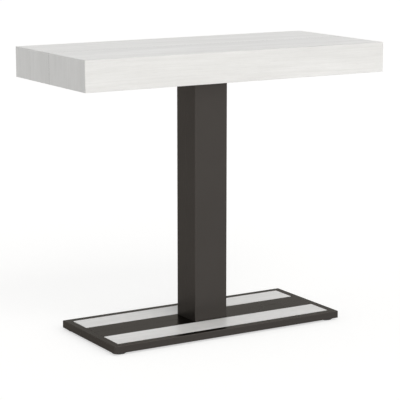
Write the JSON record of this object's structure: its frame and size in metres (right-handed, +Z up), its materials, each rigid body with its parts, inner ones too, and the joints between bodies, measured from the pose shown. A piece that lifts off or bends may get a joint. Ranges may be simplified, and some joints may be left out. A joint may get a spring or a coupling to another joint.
{
  "type": "extending console table",
  "caption": "Extending console table: deep wood-grain top on a square column and framed base, split along its length so its halves pull apart on telescopic guides.",
  "frame": {"origin": "on the floor under the middle of the closed table", "axes": "+X along the length, +Y from the front half to the back half, +Z up"},
  "size_m": [0.9, 0.4, 0.77],
  "materials": {
    "board": "white wood-grain melamine, satin",
    "coated_steel": "anthracite powder coat, semi-gloss",
    "dark_plastic": "matte",
    "bar_aluminium": "extruded, natural anodised",
    "white_plastic": "nylon, matte",
    "zinc_steel": "zinc plated",
    "beech": "plain beech"
  },
  "bodies": {
    "back_half": {"alignment_dowels": "beech", "back_base_end_plugs": "dark_plastic", "back_base_end_rails": "coated_steel", "back_base_inner_rail": "coated_steel", "back_base_insert": "board", "back_base_outer_rail": "coated_steel", "back_base_support_plates": "coated_steel", "back_bracket_screws": "zinc_steel", "back_column": "coated_steel", "back_column_flange": "coated_steel", "back_floor_glides": "dark_plastic", "back_insert_screws": "zinc_steel", "back_left_end_apron": "board", "back_long_apron": "board", "back_right_end_apron": "board", "back_slide_brackets": "zinc_steel", "back_top_panel": "board", "back_top_screws": "zinc_steel", "hook_pins": "zinc_steel", "left_slide_bar_1": "bar_aluminium", "right_slide_bar_1": "bar_aluminium", "slide_blocks_1": "white_plastic"},
    "front_half": {"front_base_end_plugs": "dark_plastic", "front_base_end_rails": "coated_steel", "front_base_inner_rail": "coated_steel", "front_base_insert": "board", "front_base_outer_rail": "coated_steel", "front_base_support_plates": "coated_steel", "front_bracket_screws": "zinc_steel", "front_column": "coated_steel", "front_column_flange": "coated_steel", "front_floor_glides": "dark_plastic", "front_insert_screws": "zinc_steel", "front_left_end_apron": "board", "front_long_apron": "board", "front_right_end_apron": "board", "front_slide_brackets": "zinc_steel", "front_top_panel": "board", "front_top_screws": "zinc_steel", "hook_pivots": "zinc_steel", "left_slide_bar_7": "bar_aluminium", "right_slide_bar_7": "bar_aluminium", "slide_blocks_7": "white_plastic"},
    "slide_stage_1": {"left_slide_bar_2": "bar_aluminium", "right_slide_bar_2": "bar_aluminium", "slide_blocks_2": "white_plastic"},
    "slide_stage_2": {"left_slide_bar_3": "bar_aluminium", "right_slide_bar_3": "bar_aluminium", "slide_blocks_3": "white_plastic"},
    "slide_stage_3": {"left_slide_bar_4": "bar_aluminium", "right_slide_bar_4": "bar_aluminium", "slide_blocks_4": "white_plastic"},
    "slide_stage_4": {"left_slide_bar_5": "bar_aluminium", "right_slide_bar_5": "bar_aluminium", "slide_blocks_5": "white_plastic"},
    "slide_stage_5": {"left_slide_bar_6": "bar_aluminium", "right_slide_bar_6": "bar_aluminium", "slide_blocks_6": "white_plastic"},
    "left_hook": {"left_turn_hook": "zinc_steel"},
    "right_hook": {"right_turn_hook": "zinc_steel"}
  },
  "joints": [
    {"name": "table_opening", "type": "slide", "parent": "back_half", "child": "front_half", "axis": [0, -1, 0], "range_m": [0, 1.56]},
    {"name": "slide_stage_1_travel", "type": "slide", "parent": "back_half", "child": "slide_stage_1", "axis": [0, -1, 0], "range_m": [0, 0.26]},
    {"name": "slide_stage_2_travel", "type": "slide", "parent": "back_half", "child": "slide_stage_2", "axis": [0, -1, 0], "range_m": [0, 0.52]},
    {"name": "slide_stage_3_travel", "type": "slide", "parent": "back_half", "child": "slide_stage_3", "axis": [0, -1, 0], "range_m": [0, 0.78]},
    {"name": "slide_stage_4_travel", "type": "slide", "parent": "back_half", "child": "slide_stage_4", "axis": [0, -1, 0], "range_m": [0, 1.04]},
    {"name": "slide_stage_5_travel", "type": "slide", "parent": "back_half", "child": "slide_stage_5", "axis": [0, -1, 0], "range_m": [0, 1.3]},
    {"name": "left_hook_turn", "type": "hinge", "parent": "front_half", "child": "left_hook", "pos_m": [-0.416, -0.024, 0.7501], "axis": [0, 0, 1], "range_deg": [0, 90]},
    {"name": "right_hook_turn", "type": "hinge", "parent": "front_half", "child": "right_hook", "pos_m": [0.416, -0.024, 0.7501], "axis": [0, 0, -1], "range_deg": [0, 90]}
  ],
  "couplings": [
    {"joint": "slide_stage_1_travel", "follows": "table_opening", "ratio": 0.16667},
    {"joint": "slide_stage_2_travel", "follows": "table_opening", "ratio": 0.33333},
    {"joint": "slide_stage_3_travel", "follows": "table_opening", "ratio": 0.5},
    {"joint": "slide_stage_4_travel", "follows": "table_opening", "ratio": 0.66667},
    {"joint": "slide_stage_5_travel", "follows": "table_opening", "ratio": 0.83333}
  ]
}
